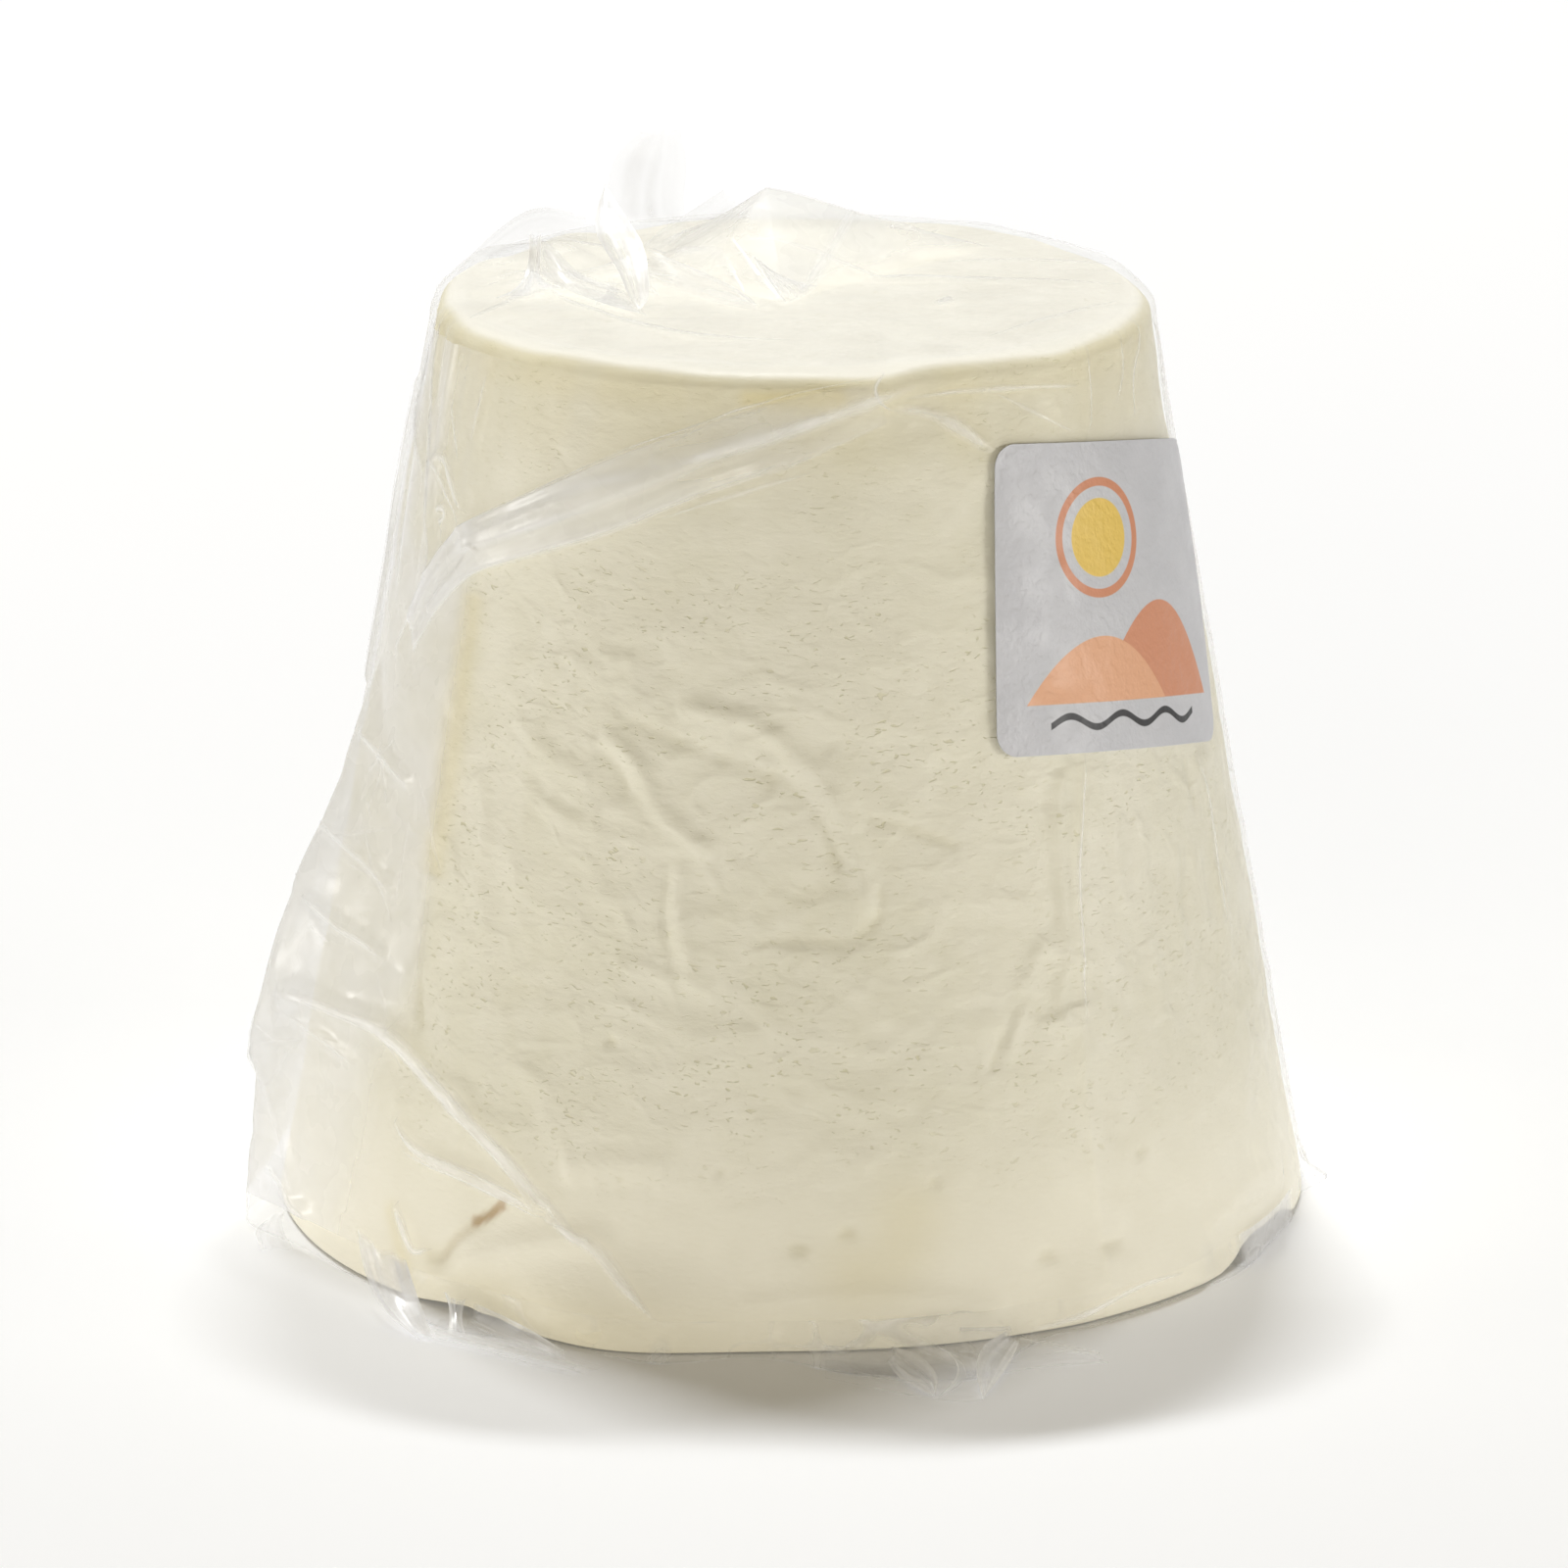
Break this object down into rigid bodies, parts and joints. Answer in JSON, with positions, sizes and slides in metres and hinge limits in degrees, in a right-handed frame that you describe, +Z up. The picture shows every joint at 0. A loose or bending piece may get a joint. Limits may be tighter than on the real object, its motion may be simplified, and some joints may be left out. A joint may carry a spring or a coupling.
{
  "type": "wrapped soft white cheese",
  "caption": "Soft white cheese shaped as a cut-off cone, wrapped in clear film that stands in folds on top, at the left and round the foot, with a small paper label at its right.",
  "frame": {"origin": "middle of the flat base, on the floor that the cheese stands on", "axes": "+Z up along the cone's axis; the front, with the film's slanting gathered edge, faces -Y; the label is towards +X"},
  "size_m": [0.105, 0.1118, 0.0994],
  "materials": {
    "cheese": "moist pressed curd, ivory white, slightly translucent, with soft wrinkles and small pits",
    "film": "thin clear glossy film with sharp folds, milky where it stands off the cheese",
    "label": "smooth coated white paper with a plain printed pattern"
  },
  "bodies": {
    "root": {"wrapped_cheese": "cheese", "label": "label"}
  },
  "joints": []
}
